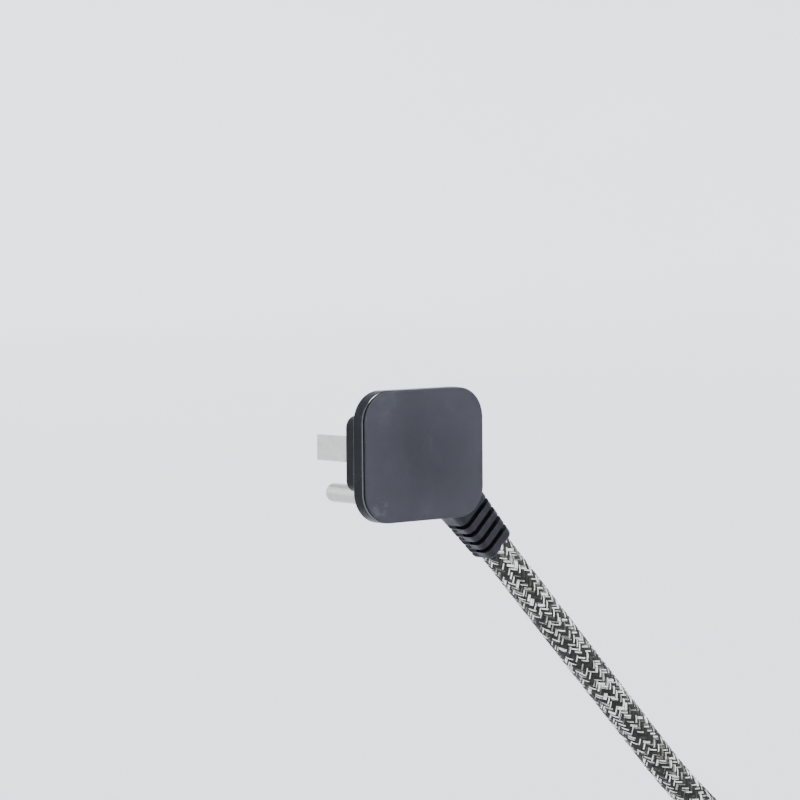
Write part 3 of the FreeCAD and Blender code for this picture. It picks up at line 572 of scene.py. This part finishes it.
def braid_look():
    """Herringbone sleeve: bars two cells long in two directions, each of three strands in any tone, with
    painted shade in the crevices between strands, yarns and bars.
    """
    look = Look("braided_sleeve", 0.75, 0.0, 0.25)
    uv = look.node("SeparateXYZ", None, {0: look.node("UVMap", {"uv_map": "braid"}).outputs[0]}).outputs
    one = look.math("ADD", uv[1], uv[0])
    other = look.math("SUBTRACT", uv[1], uv[0])
    row, column = look.math("FLOOR", one), look.math("FLOOR", other)
    between = look.math("SUBTRACT", row, column)
    four = look.math("MULTIPLY", look.math("FLOOR", look.math("DIVIDE", between, 4.0)), 4.0)
    place = look.math("SUBTRACT", between, four)
    falling = look.math("GREATER_THAN", place, 1.5)

    def either(rising_value, falling_value):
        change = look.math("SUBTRACT", falling_value, rising_value)
        return look.math("MULTIPLY_ADD", falling, change, rising_value)

    part_one, part_other = look.math("FRACT", one), look.math("FRACT", other)
    length_falling = look.math("ADD", part_other, look.math("SUBTRACT", 3.0, place))
    length = look.math("MULTIPLY", either(look.math("ADD", part_one, place), length_falling), 0.5)
    width = either(part_other, part_one)
    yarn = look.math("FLOORED_MODULO", either(column, row), float(COLUMNS))
    yarn = look.math("MULTIPLY_ADD", falling, 40.0, yarn)
    twice_row = look.math("MULTIPLY_ADD", row, 2.0, -3.0)
    number = either(look.math("MULTIPLY_ADD", column, 2.0, four), look.math("SUBTRACT", twice_row, four))

    def chance(a, b, c):
        spot = look.node("CombineXYZ", None, {0: a, 1: b, 2: c}).outputs[0]
        return look.node("TexWhiteNoise", {"noise_dimensions": "3D"}, {"Vector": spot}).outputs["Value"]

    thrice = look.math("MULTIPLY", width, 3.0)
    strand = look.math("FLOOR", thrice)
    own = chance(yarn, number, strand)
    whole = chance(yarn, number, 7.0)
    fibre_at = look.node("CombineXYZ", None, {
        0: look.math("MULTIPLY", width, 14.0),
        1: look.math("MULTIPLY", length, 2.2),
        2: look.math("MULTIPLY_ADD", number, 3.37, look.math("MULTIPLY", yarn, 5.13)),
    }).outputs[0]
    fibre = look.node("TexNoise", None, {"Vector": fibre_at, "Scale": 1.0, "Detail": 2.0}).outputs["Fac"]
    tone = look.math("MULTIPLY_ADD", whole, 0.14, look.math("MULTIPLY", own, 0.86))
    tone = look.math("ADD", tone, look.spread(fibre, 0.3, 0.7, -0.09, 0.09))
    ramp = look.node("ValToRGB", None, {0: tone})
    stops = ramp.color_ramp
    stops.elements[0].position = 0.43
    stops.elements[0].color = linear(35, 33, 29)
    stops.elements[1].position = 0.79
    stops.elements[1].color = linear(253, 251, 243)
    lower = stops.elements.new(0.60)
    lower.color = linear(69, 66, 60)
    upper = stops.elements.new(0.70)
    upper.color = linear(158, 155, 145)
    # Painted shade: strand borders, yarn edges and bar ends mixed towards near black, standing in for the
    # shade between them.
    off_strand = look.math("ABSOLUTE", look.math("SUBTRACT", look.math("FRACT", thrice), 0.5))
    split = look.spread(off_strand, 0.34, 0.5, 0.0, 0.6)
    off_middle = look.math("ABSOLUTE", look.math("SUBTRACT", width, 0.5))
    gap = look.spread(off_middle, 0.38, 0.48, 0.0, 0.95)
    tip = look.spread(look.math("ABSOLUTE", look.math("SUBTRACT", length, 0.5)), 0.43, 0.5, 0.0, 0.9)
    crevice_shade = look.math("MAXIMUM", split, look.math("MAXIMUM", gap, tip))
    look.set("Base Color", look.mix(crevice_shade, ramp.outputs[0], linear(18, 18, 17)))
    look.set("Sheen Weight", 0.08)
    look.bump(fibre, 0.05 * MM, 0.8)
    return look.material


def rubber(name, colour, rough):
    return moulded(name, colour, rough, 0.2 * MM, 0.01 * MM, 0.10, 0.2)


def relief_look():
    """Strain relief rubber, with painted shade making the floors of its grooves near black and less
    reflective.
    """
    look = rubber("relief_rubber", linear(24, 24, 29), 0.45)
    base = look.shader.inputs["Base Color"].links[0].from_socket
    way = np.array(RUN[1]) - np.array(RUN[0])
    way = tuple(way / np.linalg.norm(way))
    place = look.place()
    along = look.node("VectorMath", {"operation": "DOT_PRODUCT"}, {0: place, 1: way}).outputs["Value"]
    from_end = look.math("SUBTRACT", sum(a * b * MM for a, b in zip(RUN[0], way)), along)
    steps = look.math("DIVIDE", look.math("SUBTRACT", from_end, GROOVE_LAST), GROOVE_PITCH)
    whole = look.math("ROUND", steps)
    off = look.math("ABSOLUTE", look.math("SUBTRACT", steps, whole))
    # Painted shade: the groove floors are mixed towards near black, with less reflection, where shade falls
    # in them.
    floor = look.spread(off, 0.18, 0.23, 1.0, 0.0)
    inside = look.math("LESS_THAN", look.math("ABSOLUTE", look.math("SUBTRACT", whole, 1.5)), 2.0)
    on_plug = look.math("GREATER_THAN", look.node("SeparateXYZ", None, {0: place}).outputs[2], -0.05)
    floor = look.math("MULTIPLY", floor, look.math("MULTIPLY", inside, on_plug))
    look.set("Base Color", look.mix(floor, base, linear(8, 8, 10)))
    look.set("Specular IOR Level", look.math("MULTIPLY_ADD", floor, -0.18, 0.2))
    return look.material


def looks():
    return {
        "charcoal_cover": cover_look(),
        "charcoal_shell": shell_look(),
        "charcoal_case": moulded("charcoal_case", linear(40, 39, 44), 0.5, specular=0.2).material,
        "black_nylon": moulded("black_nylon", linear(34, 34, 36), 0.5).material,
        "plated_brass": metal("plated_brass", (0.43, 0.41, 0.375, 1), 0.24, 1.0),
        "tinned_copper": metal("tinned_copper", (0.76, 0.73, 0.69, 1), 0.28),
        "black_insulation": insulation("black_insulation", linear(30, 30, 31)),
        "white_insulation": insulation("white_insulation", linear(228, 227, 220)),
        "green_insulation": insulation("green_insulation", linear(34, 128, 62)),
        "inner_sheath": rubber("inner_sheath", linear(42, 42, 43), 0.55).material,
        "plated_steel": metal("plated_steel", (0.62, 0.62, 0.60, 1), 0.3, 1.0),
        "relief_rubber": relief_look(),
        "braided_sleeve": braid_look(),
        "strap_fabric": strap_look(),
        "shutter_plastic": moulded("shutter_plastic", linear(214, 213, 206), 0.38).material,
        "spring_steel": metal("spring_steel", (0.56, 0.56, 0.56, 1), 0.25),
        "contact_brass": metal("contact_brass", (0.76, 0.56, 0.26, 1), 0.26, 1.0, 0.2),
        "board_green": board("board_green", linear(22, 92, 52), linear(40, 128, 74)),
        "relay_case": moulded("relay_case", linear(52, 58, 66), 0.3).material,
        "transformer_tape": wound_tape("transformer_tape", linear(196, 158, 44)),
        "capacitor_sleeve": wrapped("capacitor_sleeve", linear(28, 38, 92), 0.25),
        "fuse_case": wrapped("fuse_case", linear(128, 84, 48), 0.35),
        "radio_blue": board("radio_blue", linear(24, 48, 104), linear(40, 72, 140)),
        "button_grey": moulded("button_grey", linear(104, 107, 114), 0.42).material,
        "led_body": wrapped("led_body", linear(226, 230, 224), 0.22),
        "clear_pipe": frosted("clear_pipe"),
    }


# ---- strap round the coil


def strap_line():
    """Round the bundle in the XZ plane, with the free end lapped over the top."""
    left, right = STRAP_X
    low, high = STRAP_Z
    corner = STRAP_CORNER
    points = [(left + 10.0, high)]
    corners = [
        (left + corner, high - corner, 90, 180),
        (left + corner, low + corner, 180, 270),
        (right - corner, low + corner, 270, 360),
        (right - corner, high - corner, 0, 90),
    ]
    for x, z, begin, end in corners:
        for i in range(9):
            angle = math.radians(begin + (end - begin) * i / 8)
            grow = STRAP_LAP if begin == 0 else 0
            radius = corner + grow * i / 8
            points.append((x + radius * math.cos(angle), z + radius * math.sin(angle)))
    top = high + STRAP_LAP
    points += [(130.0, top), (124.0, top), (119.5, top - 0.02)]
    return [(x * MM, z * MM) for x, z in points]


def strap():
    """A flat woven tape: rounded selvedges, a rounded free tip, a slight ripple in its width."""
    line = np.array(strap_line())
    steps = np.r_[0, np.cumsum(np.linalg.norm(np.diff(line, axis=0), axis=1))]
    at = np.arange(0, steps[-1], 0.7 * MM)
    centre = np.stack([np.interp(at, steps, line[:, i]) for i in range(2)], axis=-1)
    ahead = np.gradient(centre, axis=0)
    ahead = ahead / np.linalg.norm(ahead, axis=1)[:, None]
    out = np.stack([ahead[:, 1], -ahead[:, 0]], axis=-1)
    half, thick = 5.0 * MM, 0.5 * MM
    section = []
    for i in range(32):
        angle = 2 * math.pi * i / 32
        wide = math.copysign(abs(math.cos(angle)) ** 0.35, math.cos(angle))
        high = math.copysign(abs(math.sin(angle)) ** 0.7, math.sin(angle))
        section.append((wide, high))
    section = np.array(section)
    rest = steps[-1] - at
    tip = np.sqrt(np.clip(1 - (1 - np.clip(rest / half, 0, 1)) ** 2, 0.02, 1))
    grid = np.zeros((len(at), 32, 3))
    middle = COIL_CENTRE[1] * MM
    for i in range(len(at)):
        ripple = 1 + 0.012 * math.sin(at[i] / (0.9 * MM))
        width = section[:, 0] * half * tip[i] * ripple
        rise = section[:, 1] * thick * (0.9 + 0.1 * tip[i])
        grid[i, :, 0] = centre[i, 0] + out[i, 0] * rise
        grid[i, :, 1] = middle + width
        grid[i, :, 2] = centre[i, 1] + out[i, 1] * rise
    ends = np.array([grid[0].mean(axis=0), grid[-1].mean(axis=0)])
    return ring_mesh("coil_strap", grid, ends)


# ---- stage


def stage():
    """A sheet of pale paper that curves up all round."""
    look = Look("paper", 0.9, 0.0, 0.1)
    tone = look.spread(look.noise(0.4, 3.0), 0.3, 0.7)
    look.set("Base Color", look.mix(tone, linear(247, 250, 255), linear(250, 252, 255)))
    look.bump(look.noise(1.5 * MM, 3.0, 0.6), 0.03 * MM)
    flat = STAGE_REACH - STAGE_BEND
    profile = [(0.0, 0.0), (flat, 0.0)]
    for i in range(1, 17):
        angle = math.pi / 2 * i / 16
        profile.append((flat + STAGE_BEND * math.sin(angle), STAGE_BEND - STAGE_BEND * math.cos(angle)))
    profile.append((STAGE_REACH, STAGE_HEIGHT))
    sides = 72
    points, faces = [STAGE_MIDDLE + (FLOOR,)], []
    for distance, height in profile[1:]:
        for i in range(sides):
            angle = 2 * math.pi * i / sides
            x = STAGE_MIDDLE[0] + distance * math.cos(angle)
            y = STAGE_MIDDLE[1] + distance * math.sin(angle)
            points.append((x, y, FLOOR + height))
    for i in range(sides):
        faces.append((0, 1 + i, 1 + (i + 1) % sides))
    for row in range(len(profile) - 2):
        for i in range(sides):
            j = (i + 1) % sides
            a, b = 1 + row * sides, 1 + (row + 1) * sides
            faces.append((a + i, b + i, b + j, a + j))
    mesh = bpy.data.meshes.new("backdrop")
    mesh.from_pydata(points, [], faces)
    mesh.polygons.foreach_set("use_smooth", [True] * len(mesh.polygons))
    mesh.materials.append(look.material)
    made = bpy.data.objects.new("backdrop", mesh)
    bpy.context.scene.collection.objects.link(made)


def lamp(name, at, towards, size, power, colour=(1, 1, 1)):
    data = bpy.data.lights.new(name, "AREA")
    data.shape = "RECTANGLE"
    data.size, data.size_y = size
    data.energy = power
    data.color = colour
    made = bpy.data.objects.new(name, data)
    bpy.context.scene.collection.objects.link(made)
    made.location = at
    made.visible_camera = False
    made.rotation_mode = "QUATERNION"
    made.rotation_quaternion = (Vector(towards) - Vector(at)).to_track_quat("-Z", "Y")


def sun(name, towards_it, power, spread, colour):
    data = bpy.data.lights.new(name, "SUN")
    data.energy = power
    data.angle = math.radians(spread)
    data.color = colour
    made = bpy.data.objects.new(name, data)
    bpy.context.scene.collection.objects.link(made)
    made.rotation_mode = "QUATERNION"
    made.rotation_quaternion = (-Vector(towards_it)).to_track_quat("-Z", "Y")


def lights():
    """Soft daylight all round, a broad key from the right, one from above, and a strip at the left."""
    world = bpy.data.worlds.new("world")
    world.use_nodes = True
    world.node_tree.nodes["Background"].inputs[0].default_value = (0.88, 0.93, 1.0, 1)
    world.node_tree.nodes["Background"].inputs[1].default_value = 1.25
    bpy.context.scene.world = world
    sun("key", (0.78, -0.60, 0.42), 2.8, 22, (1.0, 0.99, 0.975))
    sun("above", (0.05, -0.62, 0.85), 3.5, 30, (0.97, 0.985, 1.0))
    lamp("edge", (-0.70, -0.22, 0.10), (-0.02, -0.015, 0.0), (0.12, 0.8), 0.5, (0.96, 0.98, 1.0))


# ---- the model


def dress(nodes, finishes):
    for part in frame["record"]["subparts"]:
        name = part["node"]
        mesh = nodes[name].data
        finish = finishes["charcoal_case" if name in CASE else part["material_slot"]]
        if len(mesh.materials) == 0:
            mesh.materials.append(finish)
        for i in range(len(mesh.materials)):
            mesh.materials[i] = finish


def add_cord(finishes):
    line = Line(route_line())
    inner = jacket(line)
    inner.data.materials.append(finishes["inner_sheath"])
    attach(inner, "case")
    total = math.floor(line.length / PICK)
    seen_end = math.ceil(FINE_UNTIL / PICK)
    middle = math.ceil(LOWER_UNTIL / PICK)
    sleeves = [
        sleeve_in_bars(line, "sleeve_run", -1, seen_end, 6),
        sleeve_in_rows(line, "sleeve_coil_low", seen_end - 1, middle),
        sleeve_in_rows(line, "sleeve_coil_high", middle, total),
    ]
    for piece in sleeves:
        piece.data.materials.append(finishes["braided_sleeve"])
        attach(piece, "case")
    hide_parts("cord_run", "cord_coil", "cord_lead")


def spring():
    """Coil spring behind the shutter, from the case's wall to the shutter."""
    low, high = (np.array(corner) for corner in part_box("shutter_spring"))
    middle = (low + high) / 2
    wind = (high[0] - low[0]) / 2 - SPRING_WIRE
    turns = np.linspace(0, SPRING_TURNS, SPRING_TURNS * 24 + 1)
    angle = 2 * math.pi * turns
    rise = np.interp(turns / SPRING_TURNS, (0, 1), (low[1] + SPRING_WIRE, high[1] - SPRING_WIRE))
    path = np.stack([middle[0] + wind * np.cos(angle), rise, middle[2] + wind * np.sin(angle)], axis=-1)
    line = Line(path)
    along = np.broadcast_to(line.at[:, None], (len(path), 10))
    around = np.broadcast_to(np.arange(10) * math.pi / 5, along.shape)
    grid = line.surface(along, around, np.full(along.shape, SPRING_WIRE))
    return ring_mesh("shutter_coil", grid, path[[0, -1]]), (middle[0], low[1], middle[2])


def add_spring(finishes):
    piece, seat = spring()
    piece.data.materials.append(finishes["spring_steel"])
    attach(piece, "case")
    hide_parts("shutter_spring")
    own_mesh(piece)


def add_strap(finishes):
    piece = strap()
    piece.data.materials.append(finishes["strap_fabric"])
    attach(piece, "case")
    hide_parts("cord_tie")


camera()
finishes = looks()
dress(frame["nodes"], finishes)
add_cord(finishes)
add_strap(finishes)
add_spring(finishes)
stage()
lights()
